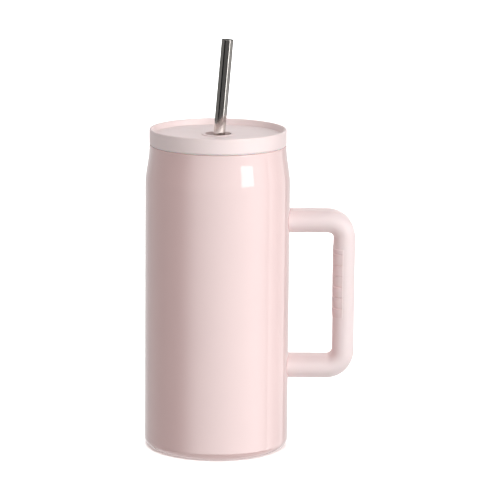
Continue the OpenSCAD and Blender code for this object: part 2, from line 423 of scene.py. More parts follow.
class Effects:
    """The node groups that the finishes share, each built once."""

    def __init__(self) -> None:
        """Builds every group."""
        self.grain = self._grain()
        self.rings = self._rings()
        self.drift = self._drift()
        self.rub = self._rub()
        self.marks = self._marks()
        self.dust = self._dust()

    @staticmethod
    def _group(name: str, inputs: dict[str, object], outputs: dict[str, str]) -> tuple:
        """Starts a node group.

        Args:
            name: the group's name.
            inputs: each input's name and starting value.
            outputs: each output's name and kind.

        Returns:
            The sheet, the input node and the output node.
        """
        tree = bpy.data.node_groups.new(name, "ShaderNodeTree")
        for label, value in inputs.items():
            kind = "Float" if isinstance(value, float) else "Color" if len(value) == 4 else "Vector"
            socket = tree.interface.new_socket(label, in_out="INPUT", socket_type="NodeSocket" + kind)
            socket.default_value = value
        for label, kind in outputs.items():
            tree.interface.new_socket(label, in_out="OUTPUT", socket_type="NodeSocket" + kind)
        sheet = NodeSheet(tree)
        return sheet, tree.nodes.new("NodeGroupInput"), tree.nodes.new("NodeGroupOutput")

    def _grain(self) -> bpy.types.NodeTree:
        """Builds a fine skin of soft bumps, with a slower swell under it."""
        inputs = {"Scale": 1200.0, "Swell Scale": 90.0, "Swell Share": 0.2}
        sheet, given, made = self._group("skin_grain", inputs, {"Height": "Float", "Mask": "Float"})
        place = sheet.add("TexCoord").outputs["Object"]
        fine = sheet.noise(place, given.outputs["Scale"], 3.0, 0.6)
        swell = sheet.noise(place, given.outputs["Swell Scale"], 2.0)
        share = given.outputs["Swell Share"]
        fine_part = sheet.math("MULTIPLY", fine, sheet.math("SUBTRACT", 1.0, share))
        height = sheet.math("ADD", fine_part, sheet.math("MULTIPLY", swell, share))
        sheet.tree.links.new(height, made.inputs["Height"])
        sheet.tree.links.new(sheet.spread(swell, 0.35, 0.65, 0.0, 1.0), made.inputs["Mask"])
        return sheet.tree

    def _rings(self) -> bpy.types.NodeTree:
        """Builds the fine lines that turning or drawing leaves round an upright axis."""
        inputs = {"Scale": 2500.0, "Lean": 0.0, "Centre": (0.0, 0.0, 0.0)}
        sheet, given, made = self._group("lathe_lines", inputs, {"Height": "Float", "Mask": "Float"})
        place = sheet.add("TexCoord").outputs["Object"]
        centred = sheet.add(
            "VectorMath", {0: place, 1: given.outputs["Centre"]}, operation="SUBTRACT"
        ).outputs[0]
        upright = sheet.add(
            "VectorRotate", {"Vector": centred, "Angle": given.outputs["Lean"]}, rotation_type="Y_AXIS"
        ).outputs[0]
        parts = sheet.add("SeparateXYZ", {0: upright})
        flat = sheet.add("CombineXYZ", {0: parts.outputs[0], 1: parts.outputs[1]}).outputs[0]
        radius = sheet.add("VectorMath", {0: flat}, operation="LENGTH").outputs["Value"]
        angle = sheet.math("ARCTAN2", parts.outputs[1], parts.outputs[0])
        run = sheet.math("DIVIDE", sheet.math("COSINE", angle), LINE_RUN)
        line = sheet.add("CombineXYZ", {0: radius, 1: run, 2: parts.outputs[2]}).outputs[0]
        height = sheet.noise(line, given.outputs["Scale"], 4.0, 0.7)
        broad = sheet.noise(place, 35.0, 3.0)
        sheet.tree.links.new(height, made.inputs["Height"])
        sheet.tree.links.new(sheet.spread(broad, 0.35, 0.7, 0.0, 1.0), made.inputs["Mask"])
        return sheet.tree

    def _drift(self) -> bpy.types.NodeTree:
        """Builds a colour that drifts slowly between two shades, with fine flecks."""
        inputs = {
            "Colour": (0.5, 0.5, 0.5, 1.0),
            "Shade": (0.4, 0.4, 0.4, 1.0),
            "Scale": 22.0,
            "Strength": 0.5,
            "Fleck Strength": 0.1,
        }
        sheet, given, made = self._group("tone_drift", inputs, {"Color": "Color"})
        place = sheet.add("TexCoord").outputs["Object"]
        slow = sheet.spread(sheet.noise(place, given.outputs["Scale"], 3.0), 0.3, 0.7, 0.0, 1.0)
        fleck = sheet.spread(sheet.noise(place, 3800.0, 2.0), 0.45, 0.75, 0.0, 1.0)
        share = sheet.math("MULTIPLY", slow, given.outputs["Strength"])
        extra = sheet.math("MULTIPLY", fleck, given.outputs["Fleck Strength"])
        total = sheet.add("Math", {0: share, 1: extra}, operation="ADD", use_clamp=True).outputs[0]
        colour = sheet.blend(total, given.outputs["Colour"], given.outputs["Shade"])
        sheet.tree.links.new(colour, made.inputs["Color"])
        return sheet.tree

    def _rub(self) -> bpy.types.NodeTree:
        """Builds a mask of the outer edges that handling rubs, broken up by noise."""
        inputs = {"From": 0.53, "To": 0.62, "Break Scale": 160.0}
        sheet, given, made = self._group("edge_rub", inputs, {"Mask": "Float"})
        edge = sheet.add("NewGeometry").outputs["Pointiness"]
        raised = sheet.spread(edge, given.outputs["From"], given.outputs["To"], 0.0, 1.0)
        place = sheet.add("TexCoord").outputs["Object"]
        patches = sheet.noise(place, given.outputs["Break Scale"], 5.0, 0.65)
        broken = sheet.spread(patches, 0.42, 0.68, 0.0, 1.0)
        sheet.tree.links.new(sheet.math("MULTIPLY", raised, broken), made.inputs["Mask"])
        return sheet.tree

    def _marks(self) -> bpy.types.NodeTree:
        """Builds a mask of faint smears and hairline marks."""
        inputs = {"Scale": 28.0, "Line Scale": 60.0}
        sheet, given, made = self._group("hand_marks", inputs, {"Smear": "Float", "Hairline": "Float"})
        place = sheet.add("TexCoord").outputs["Object"]
        smear = sheet.spread(sheet.noise(place, given.outputs["Scale"], 5.0, 0.6), 0.45, 0.75, 0.0, 1.0)
        turn = {"Vector": place, "Rotation": (0.5, 0.9, 0.3), "Scale": (1.0, 14.0, 14.0)}
        turned = sheet.add("Mapping", turn)
        lines = sheet.noise(turned.outputs[0], given.outputs["Line Scale"], 4.0, 0.7)
        hair = sheet.spread(sheet.math("ABSOLUTE", sheet.math("SUBTRACT", lines, 0.5)), 0.0, 0.012, 1.0, 0.0)
        sheet.tree.links.new(smear, made.inputs["Smear"])
        sheet.tree.links.new(sheet.math("MULTIPLY", hair, smear), made.inputs["Hairline"])
        return sheet.tree

    def _dust(self) -> bpy.types.NodeTree:
        """Builds a mask of light dust on the faces that look up."""
        sheet, given, made = self._group("light_dust", {"Scale": 260.0, "Amount": 0.3}, {"Mask": "Float"})
        parts = sheet.add("SeparateXYZ", {0: sheet.add("NewGeometry").outputs["Normal"]})
        upward = sheet.spread(parts.outputs[2], 0.55, 1.0, 0.0, 1.0)
        place = sheet.add("TexCoord").outputs["Object"]
        spots = sheet.spread(sheet.noise(place, given.outputs["Scale"], 6.0, 0.7), 0.48, 0.72, 0.0, 1.0)
        mask = sheet.math("MULTIPLY", sheet.math("MULTIPLY", upward, spots), given.outputs["Amount"])
        sheet.tree.links.new(mask, made.inputs["Mask"])
        return sheet.tree


# ---------------------------------------------------------------- finishes


class Relief(Enum):
    """The pattern that gives a finish its fine relief."""

    SKIN = "skin"
    RINGS = "rings"


@dataclass(frozen=True)
class Finish:
    """The looks of one material: colours, gloss, relief and wear."""

    name: str
    colour: Colour
    shade: Colour
    rubbed: Colour
    roughness: float
    relief: Relief = Relief.SKIN
    relief_scale: float = 1200.0
    swell_scale: float = 90.0
    swell_share: float = 0.2
    relief_strength: float = 0.1
    relief_depth: float = 0.00005
    ring_centre: tuple[float, float, float] = (0.0, 0.0, 0.0)
    ring_lean: float = 0.0
    drift_scale: float = 22.0
    drift: float = 0.4
    fleck: float = 0.06
    rough_swing: float = 0.05
    rub: float = 0.3
    dust: float = 0.1
    dust_colour: Colour = (0.75, 0.72, 0.68)
    hairline: float = 0.0
    metallic: float = 0.0
    ior: float = 1.5
    specular: float = 0.5
    coat: float = 0.0
    coat_roughness: float = 0.05
    subsurface: float = 0.0
    subsurface_scale: float = 0.002
    sheen: float = 0.0
    sheen_roughness: float = 0.4

    def material(self, effects: Effects) -> bpy.types.Material:
        """Builds the material.

        Args:
            effects: the shared node groups.

        Returns:
            The material.
        """
        made = bpy.data.materials.new(self.name)
        made.use_nodes = True
        sheet = NodeSheet(made.node_tree)
        shader = made.node_tree.nodes["Principled BSDF"]
        height, relief_mask = self._relief(sheet, effects)
        marks = sheet.add("Group", node_tree=effects.marks)
        colour = self._colour(sheet, effects)
        rough = sheet.spread(relief_mask, 0.0, 1.0, self.roughness - self.rough_swing, self.roughness)
        smear = sheet.math("MULTIPLY", marks.outputs["Smear"], self.rough_swing * 1.4)
        hair = sheet.math("MULTIPLY", marks.outputs["Hairline"], self.hairline)
        rough = sheet.math("ADD", sheet.math("ADD", rough, smear), hair)
        bump = sheet.add(
            "Bump", {"Strength": self.relief_strength, "Distance": self.relief_depth, "Height": height}
        )
        sheet.tree.links.new(colour, shader.inputs["Base Color"])
        sheet.tree.links.new(rough, shader.inputs["Roughness"])
        sheet.tree.links.new(bump.outputs["Normal"], shader.inputs["Normal"])
        plain = {
            "Metallic": self.metallic,
            "IOR": self.ior,
            "Specular IOR Level": self.specular,
            "Coat Weight": self.coat,
            "Coat Roughness": self.coat_roughness,
            "Subsurface Weight": self.subsurface,
            "Subsurface Scale": self.subsurface_scale,
            "Sheen Weight": self.sheen,
            "Sheen Roughness": self.sheen_roughness,
        }
        for socket, value in plain.items():
            shader.inputs[socket].default_value = value
        return made

    def _relief(self, sheet: NodeSheet, effects: Effects) -> tuple:
        """Places the relief pattern.

        Args:
            sheet: the material's nodes.
            effects: the shared node groups.

        Returns:
            The sockets of its height and its slow mask.
        """
        if self.relief is Relief.RINGS:
            sockets = {"Scale": self.relief_scale, "Centre": self.ring_centre, "Lean": self.ring_lean}
            node = sheet.add("Group", node_tree=effects.rings)
        else:
            sockets = {
                "Scale": self.relief_scale,
                "Swell Scale": self.swell_scale,
                "Swell Share": self.swell_share,
            }
            node = sheet.add("Group", node_tree=effects.grain)
        for name, value in sockets.items():
            node.inputs[name].default_value = value
        return node.outputs["Height"], node.outputs["Mask"]

    def _colour(self, sheet: NodeSheet, effects: Effects) -> bpy.types.NodeSocket:
        """Builds the colour: two drifting shades, then rubbed edges, then light dust.

        Args:
            sheet: the material's nodes.
            effects: the shared node groups.

        Returns:
            The colour's socket.
        """
        drift = sheet.add("Group", node_tree=effects.drift)
        drift.inputs["Colour"].default_value = (*self.colour, 1.0)
        drift.inputs["Shade"].default_value = (*self.shade, 1.0)
        drift.inputs["Scale"].default_value = self.drift_scale
        drift.inputs["Strength"].default_value = self.drift
        drift.inputs["Fleck Strength"].default_value = self.fleck
        rub = sheet.add("Group", node_tree=effects.rub)
        worn_share = sheet.math("MULTIPLY", rub.outputs["Mask"], self.rub)
        worn = sheet.blend(worn_share, drift.outputs["Color"], (*self.rubbed, 1.0))
        dust = sheet.add("Group", node_tree=effects.dust)
        dust.inputs["Amount"].default_value = self.dust
        return sheet.blend(dust.outputs["Mask"], worn, (*self.dust_colour, 1.0))


SHELL_PAINT = Finish(
    "shell_gloss_paint",
    colour=(0.672, 0.465, 0.450),
    shade=(0.642, 0.44, 0.430),
    rubbed=(0.80, 0.62, 0.60),
    roughness=0.022,
    relief_scale=700.0,
    swell_scale=150.0,
    swell_share=0.7,
    relief_strength=0.06,
    relief_depth=0.00006,
    drift=0.35,
    fleck=0.08,
    rough_swing=0.008,
    rub=0.25,
    dust=0.06,
    ior=1.6,
    sheen=0.4,
    hairline=0.06,
)
LID_PLASTIC = Finish(
    "lid_satin_plastic",
    colour=(0.715, 0.60, 0.59),
    shade=(0.695, 0.575, 0.565),
    rubbed=(0.86, 0.77, 0.76),
    roughness=0.46,
    relief_scale=2600.0,
    relief_strength=0.18,
    relief_depth=0.00003,
    rub=0.3,
    dust=0.12,
    subsurface=0.04,
)
DECK_PLASTIC = Finish(
    "deck_satin_plastic",
    colour=(0.72, 0.61, 0.605),
    shade=(0.70, 0.585, 0.58),
    rubbed=(0.84, 0.76, 0.75),
    roughness=0.52,
    relief_scale=2200.0,
    relief_strength=0.2,
    relief_depth=0.00003,
    rub=0.2,
    dust=0.2,
    subsurface=0.04,
)
HANDLE_PLASTIC = Finish(
    "handle_satin_plastic",
    colour=(0.74, 0.625, 0.62),
    shade=(0.715, 0.595, 0.59),
    rubbed=(0.87, 0.78, 0.77),
    roughness=0.54,
    relief_scale=2400.0,
    relief_strength=0.2,
    relief_depth=0.00003,
    rub=0.25,
    dust=0.08,
    subsurface=0.04,
    specular=0.35,
)
PAD_RUBBER = Finish(
    "pad_soft_rubber",
    colour=(0.73, 0.60, 0.595),
    shade=(0.705, 0.57, 0.565),
    rubbed=(0.80, 0.70, 0.69),
    roughness=0.55,
    relief_scale=1800.0,
    relief_strength=0.3,
    relief_depth=0.00004,
    drift_scale=40.0,
    rub=0.25,
    dust=0.1,
    subsurface=0.05,
    specular=0.35,
)
PLUG_RUBBER = Finish(
    "plug_soft_rubber",
    colour=(0.70, 0.56, 0.55),
    shade=(0.67, 0.53, 0.52),
    rubbed=(0.79, 0.69, 0.68),
    roughness=0.62,
    relief_scale=1800.0,
    relief_strength=0.25,
)
SEAL_SILICONE = Finish(
    "seal_clear_silicone",
    colour=(0.80, 0.77, 0.75),
    shade=(0.76, 0.73, 0.71),
    rubbed=(0.85, 0.83, 0.82),
    roughness=0.38,
    relief_scale=900.0,
    swell_share=0.5,
    relief_strength=0.12,
    subsurface=0.5,
    subsurface_scale=0.0015,
    ior=1.41,
)
BUSH_SILICONE = Finish(
    "bush_pink_silicone",
    colour=(0.52, 0.33, 0.31),
    shade=(0.47, 0.29, 0.27),
    rubbed=(0.6, 0.45, 0.43),
    roughness=0.45,
    relief_scale=900.0,
    swell_share=0.5,
    relief_strength=0.12,
    subsurface=0.3,
    subsurface_scale=0.001,
    ior=1.41,
)
STRAW_STEEL = Finish(
    "straw_polished_steel",
    colour=(0.68, 0.645, 0.61),
    shade=(0.61, 0.58, 0.55),
    rubbed=(0.74, 0.71, 0.67),
    roughness=0.15,
    relief=Relief.RINGS,
    relief_scale=3200.0,
    relief_strength=0.015,
    relief_depth=0.00001,
    metallic=1.0,
    rough_swing=0.02,
    drift=0.5,
    rub=0.15,
    dust=0.0,
    hairline=0.15,
)
LINER_STEEL = Finish(
    "liner_brushed_steel",
    colour=(0.63, 0.615, 0.595),
    shade=(0.56, 0.55, 0.535),
    rubbed=(0.72, 0.71, 0.69),
    roughness=0.3,
    relief=Relief.RINGS,
    relief_scale=2400.0,
    relief_strength=0.25,
    relief_depth=0.00002,
    metallic=1.0,
    rough_swing=0.06,
    drift=0.5,
    rub=0.2,
    dust=0.03,
    hairline=0.1,
)
BASE_STEEL = Finish(
    "base_turned_steel",
    colour=(0.58, 0.565, 0.55),
    shade=(0.50, 0.49, 0.475),
    rubbed=(0.72, 0.70, 0.68),
    roughness=0.32,
    relief=Relief.RINGS,
    relief_scale=2000.0,
    relief_strength=0.3,
    relief_depth=0.00002,
    metallic=1.0,
    rough_swing=0.07,
    drift=0.6,
    rub=0.3,
    dust=0.02,
    hairline=0.2,
)
LUG_STEEL = Finish(
    "lug_plain_steel",
    colour=(0.55, 0.54, 0.53),
    shade=(0.47, 0.46, 0.45),
    rubbed=(0.68, 0.67, 0.66),
    roughness=0.4,
    relief_scale=1500.0,
    relief_strength=0.2,
    metallic=1.0,
    rough_swing=0.08,
    drift=0.7,
)
SCREW_STEEL = Finish(
    "screw_zinc_steel",
    colour=(0.62, 0.61, 0.58),
    shade=(0.52, 0.51, 0.49),
    rubbed=(0.74, 0.73, 0.71),
    roughness=0.3,
    relief_scale=2000.0,
    relief_strength=0.15,
    metallic=1.0,
    rough_swing=0.08,
    drift=0.7,
)
BEAD_GLASS = Finish(
    "bead_solder_glass",
    colour=(0.09, 0.12, 0.11),
    shade=(0.06, 0.08, 0.075),
    rubbed=(0.14, 0.18, 0.17),
    roughness=0.2,
    relief_scale=800.0,
    swell_share=0.6,
    relief_strength=0.2,
    coat=0.5,
    ior=1.6,
)
GETTER_METAL = Finish(
    "getter_sintered_metal",
    colour=(0.22, 0.215, 0.21),
    shade=(0.15, 0.148, 0.145),
    rubbed=(0.32, 0.31, 0.3),
    roughness=0.65,
    relief_scale=1700.0,
    relief_strength=0.7,
    relief_depth=0.0001,
    metallic=0.8,
    fleck=0.5,
    drift=0.7,
)


class Wardrobe:
    """Hands out each finish's material, made once."""

    def __init__(self) -> None:
        """Builds the shared node groups."""
        self.effects = Effects()
        self.made: dict[str, bpy.types.Material] = {}

    def dress(self, piece: bpy.types.Object, finish: Finish) -> None:
        """Gives a piece or a CAD node its finish.

        Args:
            piece: the piece.
            finish: its finish.
        """
        if finish.name not in self.made:
            self.made[finish.name] = finish.material(self.effects)
        piece.data.materials.clear()
        piece.data.materials.append(self.made[finish.name])

    def spun(
        self, name: str, corners: Sequence[Corner], finish: Finish, closed: bool = True
    ) -> bpy.types.Object:
        """Spins an outline into a piece of its own, and dresses it.

        Args:
            name: the piece's name.
            corners: the outline's corners.
            finish: the piece's finish.
            closed: whether the outline closes on itself; one that doesn't ends on the axis.

        Returns:
            The piece.
        """
        piece = finish_piece(name, Outline(corners, closed).spin())
        self.dress(piece, finish)
        return piece


def settle(piece: bpy.types.Object, body: str, node: str) -> None:
    """Ties a piece to its body and to the CAD node that it stands for, which it hides.

    Args:
        piece: the piece.
        body: the body that it moves with.
        node: the CAD node that it stands for.
    """
    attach(piece, body)
    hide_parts(node)
    log.info("%s stands for %s and rides on %s", piece.name, node, body)


# ---------------------------------------------------------------- the vessel


@dataclass
class Vessel:
    """The double-walled steel cup: shell, liner, base plate and cover."""

    wardrobe: Wardrobe
    wall: float = 0.0006
    knee_radius: float = 0.045
    blend_radius: float = 0.060
    shoulder_deg: float = 8.5
    neck_radius: float = 0.0473
    mouth_wide: float = 0.00205
    lip_radius: float = 0.001
    corner_radius: float = 0.006
    foot_radius: float = 0.0405
    foot_rise: float = 0.0036
    liner_corner: float = 0.008
    taper_low: float = 0.027
    taper_high: float = 0.019
    taper_bend: float = 0.006
    neck_step: float = 0.001
    dimple_radius: float = 0.007
    dimple_slope: float = 0.0015
    dimple_rise: float = 0.0016
    port_radius: float = 0.0012
    groove_inset: float = 0.005
    groove_wide: float = 0.001
    groove_deep: float = 0.0004
    soft: float = 0.00018

    def __post_init__(self) -> None:
        """Takes the main sizes from the frame."""
        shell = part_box("outer_shell")[1]
        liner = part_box("inner_liner")
        self.radius = shell.x
        self.mouth = shell.z
        self.liner_radius = liner[1].x - self.wall
        self.floor = liner[0].z + self.wall
        self.liner_neck = self.liner_radius - self.neck_step

    def build(self) -> None:
        """Builds and dresses every piece of the vessel."""
        settle(self.shell(), "vessel", "outer_shell")
        settle(self.liner(), "vessel", "inner_liner")
        settle(self.base_plate(), "vessel", "outer_base")
        settle(self.base_disc(), "vessel", "base_cover")

    def _shoulder(self, inset: float) -> list[Corner]:
        """Gives the shoulder's two corners, from the neck down.

        Args:
            inset: how far they are set in from the outer face.

        Returns:
            The two corners.
        """
        slope = math.radians(self.shoulder_deg)
        neck = self.mouth - self.lip_radius
        shoulder_drop = self.radius - self.neck_radius
        arcs_drop = (self.knee_radius + self.blend_radius) * (1 - math.cos(slope))
        cone = (shoulder_drop - arcs_drop) / math.tan(slope)
        knee = neck - (self.knee_radius + self.blend_radius) * math.sin(slope) - cone
        upper = neck - (self.blend_radius + inset) * math.tan(slope / 2)
        lower = knee + (self.knee_radius - inset) * math.tan(slope / 2)
        return [
            Corner(self.neck_radius - inset, upper, self.blend_radius + inset),
            Corner(self.radius - inset, lower, self.knee_radius - inset),
        ]

    def shell(self) -> bpy.types.Object:
        """Builds the painted outer wall, from its mouth to its foot."""
        inner_mouth = self.neck_radius - self.mouth_wide
        outside = [
            Corner(inner_mouth, self.mouth, self.soft),
            Corner(self.neck_radius, self.mouth, self.lip_radius),
            *self._shoulder(0.0),
            Corner(self.radius, 0.0, self.corner_radius),
            Corner(self.foot_radius, 0.0, self.soft),
            Corner(self.foot_radius, self.foot_rise, self.soft),
        ]
        inside = [
            Corner(self.foot_radius + self.wall, self.foot_rise, self.soft),
            Corner(self.foot_radius + self.wall, self.wall, self.soft),
            Corner(self.radius - self.wall, self.wall, self.corner_radius - self.wall),
            *reversed(self._shoulder(self.wall)),
            Corner(self.neck_radius - self.wall, self.mouth - self.wall, self.lip_radius - self.wall),
            Corner(inner_mouth, self.mouth - self.wall, self.soft),
        ]
        return self.wardrobe.spun("shell_wall", [*outside, *inside], SHELL_PAINT)

    def liner(self) -> bpy.types.Object:
        """Builds the steel cup inside, with its narrowed neck."""
        low = self.mouth - self.taper_low
        high = self.mouth - self.taper_high
        bend = self.taper_bend
        inside = [
            Corner(0.0, self.floor),
            Corner(self.liner_radius, self.floor, self.liner_corner),
            Corner(self.liner_radius, low, bend),
            Corner(self.liner_neck, high, bend),
            Corner(self.liner_neck, self.mouth, self.soft),
        ]
        outside = [
            Corner(self.liner_neck + self.wall, self.mouth, self.soft),
            Corner(self.liner_neck + self.wall, high, bend),
            Corner(self.liner_radius + self.wall, low, bend),
            Corner(self.liner_radius + self.wall, self.floor - self.wall, self.liner_corner + self.wall),
            Corner(0.0, self.floor - self.wall),
        ]
        return self.wardrobe.spun("liner_cup", [*inside, *outside], LINER_STEEL, closed=False)

    def base_plate(self) -> bpy.types.Object:
        """Builds the plate that closes the vacuum space, with its dimple, port and flange."""
        low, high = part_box("outer_base")
        edge = high.x
        top = high.z
        dimple, port, rise = self.dimple_radius, self.port_radius, self.dimple_rise
        under = top - self.wall - rise
        corners = [
            Corner(port, under + rise, self.soft),
            Corner(dimple, under + rise, self.wall),
            Corner(dimple + self.dimple_slope, under, self.wall),
            Corner(edge - self.wall, under, self.soft),
            Corner(edge - self.wall, low.z, self.soft),
            Corner(edge, low.z, self.soft),
            Corner(edge, under + self.wall, self.wall),
            Corner(dimple + self.dimple_slope, under + self.wall, self.wall),
            Corner(dimple, top, self.wall),
            Corner(port, top, self.soft),
        ]
        return self.wardrobe.spun("base_plate", corners, BASE_STEEL)

    def base_disc(self) -> bpy.types.Object:
        """Builds the disc that hides the port, with its shallow ring groove."""
        low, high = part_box("base_cover")
        edge = high.x
        groove = edge - self.groove_inset
        groove_end, groove_top = groove + self.groove_wide, low.z + self.groove_deep
        corners = [
            Corner(0.0, low.z),
            Corner(groove, low.z, self.soft),
            Corner(groove, groove_top, self.soft),
            Corner(groove_end, groove_top, self.soft),
            Corner(groove_end, low.z, self.soft),
            Corner(edge, low.z, self.soft),
            Corner(edge, high.z, self.soft),
            Corner(0.0, high.z),
        ]
        return self.wardrobe.spun("base_disc", corners, BASE_STEEL, closed=False)


# ---------------------------------------------------------------- the handle


@dataclass
class Handle:
    """The D-shaped moulded handle, its finger pad and the plugs over its screws."""

    wardrobe: Wardrobe
    arm_thick: float = 0.0154
    grip_thick: float = 0.0149
    edge_radius: float = 0.0074
    inner_corner: float = 0.004
    turn_steps: int = 20
    edge_steps: int = 10
    root_break: float = 0.0005
    fit: float = 0.00005
    pad_proud: float = 0.00035
    pad_reach: float = 0.0064
    pad_deep: float = 0.0014
    groove_reach: float = 0.0056
    groove_high: float = 0.0009
    groove_deep: float = 0.0005
    groove_first: float = 0.0066
    groove_pitch: float = 0.00762
    groove_count: int = 6
    screw_across: float = 0.059
    saddle_thick: float = 0.0012
    tongue_wide: float = 0.010
    tongue_high: float = 0.0064
    seat_thick: float = 0.0012
    shank_radius: float = 0.0022
    well_steps: int = 48
    plug_steps: int = 64
    plug_softness: float = 0.0003
    pad_softness: float = 0.0002

    def __post_init__(self) -> None:
        """Takes the main sizes from the frame."""
        low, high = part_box("handle_body")
        self.width = high.y - low.y
        self.reach = high.x
        self.top = high.z
        self.bottom = low.z
        self.grip_inside = self.reach - self.grip_thick
        self.corner_across = self.grip_inside - self.inner_corner
        self.corner_high = self.top - self.arm_thick - self.inner_corner
        self.corner_low = self.bottom + self.arm_thick + self.inner_corner
        self.root_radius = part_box("outer_shell")[1].x + self.fit
        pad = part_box("grip_pad")
        self.pad_low = pad[0].z
        self.pad_high = pad[1].z

    def build(self) -> None:
        """Builds and dresses every piece of the handle."""
        settle(self.frame(), "vessel", "handle_body")
        settle(self.pad(), "vessel", "grip_pad")
        settle(self.plugs(), "vessel", "screw_plugs")

    def _thickness(self, angle: float) -> float:
        """Gives the handle's thickness where its outward direction makes an angle with +X."""
        return self.grip_thick + (self.arm_thick - self.grip_thick) * math.sin(angle) ** 2

    def _section(self) -> bmesh.types.BMesh:
        """Draws the upper arm's section as one face, at the root."""
        mesh = bmesh.new()
        bmesh.ops.create_grid(mesh, x_segments=1, y_segments=1, size=0.5)
        lay = Matrix(((0, 0, 1, 0), (0, 1, 0, 0), (1, 0, 0, 0), (0, 0, 0, 1)))
        bmesh.ops.transform(mesh, matrix=lay, verts=mesh.verts)
        bmesh.ops.scale(mesh, vec=(1, self.width, self.arm_thick), verts=mesh.verts)
        bmesh.ops.bevel(
            mesh,
            geom=list(mesh.verts),
            offset=self.edge_radius,
            offset_type="OFFSET",
            affect="VERTICES",
            segments=self.edge_steps,
            profile=0.5,
            material=-1,
        )
        place = (self.root_radius, 0, self.top - self.arm_thick / 2)
        bmesh.ops.translate(mesh, vec=place, verts=mesh.verts)
        return mesh

    @staticmethod
    def _grow(mesh: bmesh.types.BMesh, ring: list[bmesh.types.BMEdge]) -> list[bmesh.types.BMEdge]:
        """Extrudes an open ring of edges and gives the new ring."""
        grown = bmesh.ops.extrude_edge_only(mesh, edges=ring)
        return [part for part in grown["geom"] if isinstance(part, bmesh.types.BMEdge)]

    @staticmethod
    def _points(ring: list[bmesh.types.BMEdge]) -> list[bmesh.types.BMVert]:
        """Gives the vertices of a ring of edges."""
        return list({point for edge in ring for point in edge.verts})

    def _turn_corner(
        self, mesh: bmesh.types.BMesh, ring: list[bmesh.types.BMEdge], centre: Vector, start: float
    ) -> list[bmesh.types.BMEdge]:
        """Sweeps the section a quarter turn round a corner, and lets its thickness change.

        Args:
            mesh: the mesh that grows.
            ring: the section's ring of edges.
            centre: the corner's centre.
            start: the outward direction's angle at the start.

        Returns:
            The ring at the corner's end.
        """
        step = -math.pi / 2 / self.turn_steps
        for i in range(self.turn_steps):
            ring = self._grow(mesh, ring)
            points = self._points(ring)
            angle = start + step * (i + 1)
            turn = Matrix.Rotation(-step, 3, "Y")
            bmesh.ops.rotate(mesh, verts=points, cent=centre, matrix=turn)
            outward = Vector((math.cos(angle), 0, math.sin(angle)))
            before = self._thickness(angle - step)
            middle = self.inner_corner + before / 2
            outer = [point for point in points if (point.co - centre).dot(outward) > middle]
            bmesh.ops.translate(mesh, verts=outer, vec=outward * (self._thickness(angle) - before))
        return ring

    def _root(self, mesh: bmesh.types.BMesh, ring: list[bmesh.types.BMEdge], middle: Vector) -> None:
        """Ends an arm on the vessel's wall, with its edge broken.

        Args:
            mesh: the mesh.
            ring: the arm's last ring of edges.
            middle: the arm's centre line at the wall.
        """
        for point in self._points(ring):
            point.co.x = math.sqrt((self.root_radius + self.root_break) ** 2 - point.co.y**2)
        ring = self._grow(mesh, ring)
        shrink = 1 - 2 * self.root_break / self.width
        for point in self._points(ring):
            point.co.y = middle.y + (point.co.y - middle.y) * shrink
            point.co.z = middle.z + (point.co.z - middle.z) * (1 - 2 * self.root_break / self.arm_thick)
            point.co.x = math.sqrt(self.root_radius**2 - point.co.y**2)
        bmesh.ops.edgeloop_fill(mesh, edges=ring)

    def frame(self) -> bpy.types.Object:
        """Sweeps the handle along its path, then cuts the pad's recess and the screw holes."""
        mesh = self._section()
        ring = list(mesh.edges)
        first = list(mesh.edges)
        bmesh.ops.delete(mesh, geom=list(mesh.faces), context="FACES_ONLY")
        high = Vector((self.corner_across, 0, self.corner_high))
        low = Vector((self.corner_across, 0, self.corner_low))
        ring = self._grow(mesh, ring)
        for point in self._points(ring):
            point.co.x = self.corner_across
        ring = self._turn_corner(mesh, ring, high, math.pi / 2)
        ring = self._grow(mesh, ring)
        for point in self._points(ring):
            point.co.z = self.corner_low
        ring = self._turn_corner(mesh, ring, low, 0.0)
        ring = self._grow(mesh, ring)
        self._root(mesh, ring, Vector((0, 0, self.bottom + self.arm_thick / 2)))
        self._root(mesh, first, Vector((0, 0, self.top - self.arm_thick / 2)))
        bmesh.ops.recalc_face_normals(mesh, faces=mesh.faces)
        piece = finish_piece("handle_frame", mesh)
        cut_away(piece, self._recess())
        for node in ("upper_lug", "lower_lug"):
            cut_away(piece, self._saddle_room(*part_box(node)))
            cut_away(piece, self._tongue_room(*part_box(node)))
        cut_away(piece, self._screw_wells())
        piece.data.shade_smooth()
        piece.data.set_sharp_from_angle(angle=math.radians(CREASE_DEG))
        self.wardrobe.dress(piece, HANDLE_PLASTIC)
        return piece

    def _band(self, out: float, deep: float, reach: float, low: float, high: float) -> bmesh.types.BMesh:
        """Builds a band that wraps the grip's inner side.

        Args:
            out: how far it stands out of the grip's face.
            deep: how far it goes into the grip.
            reach: how far round the grip it goes from the inner face.
            low: height of its underside.
            high: height of its top.

        Returns:
            The closed mesh.
        """
        side = self.width / 2
        back = self.grip_inside + max(reach, self.edge_radius)
        corners = [
            Corner(back, side + out),
            Corner(self.grip_inside - out, side + out, self.edge_radius + out - HOLD),
            Corner(self.grip_inside - out, -side - out, self.edge_radius + out - HOLD),
            Corner(back, -side - out),
            Corner(back, -side + deep),
            Corner(self.grip_inside + deep, -side + deep, self.edge_radius - deep - HOLD),
            Corner(self.grip_inside + deep, side - deep, self.edge_radius - deep - HOLD),
            Corner(back, side - deep),
        ]
        mesh = Outline(corners, plane=Plane.LEVEL).push(low, high)
        clip_mesh(mesh, (self.grip_inside + reach, 0, 0), (1, 0, 0))
        bmesh.ops.recalc_face_normals(mesh, faces=mesh.faces)
        return mesh

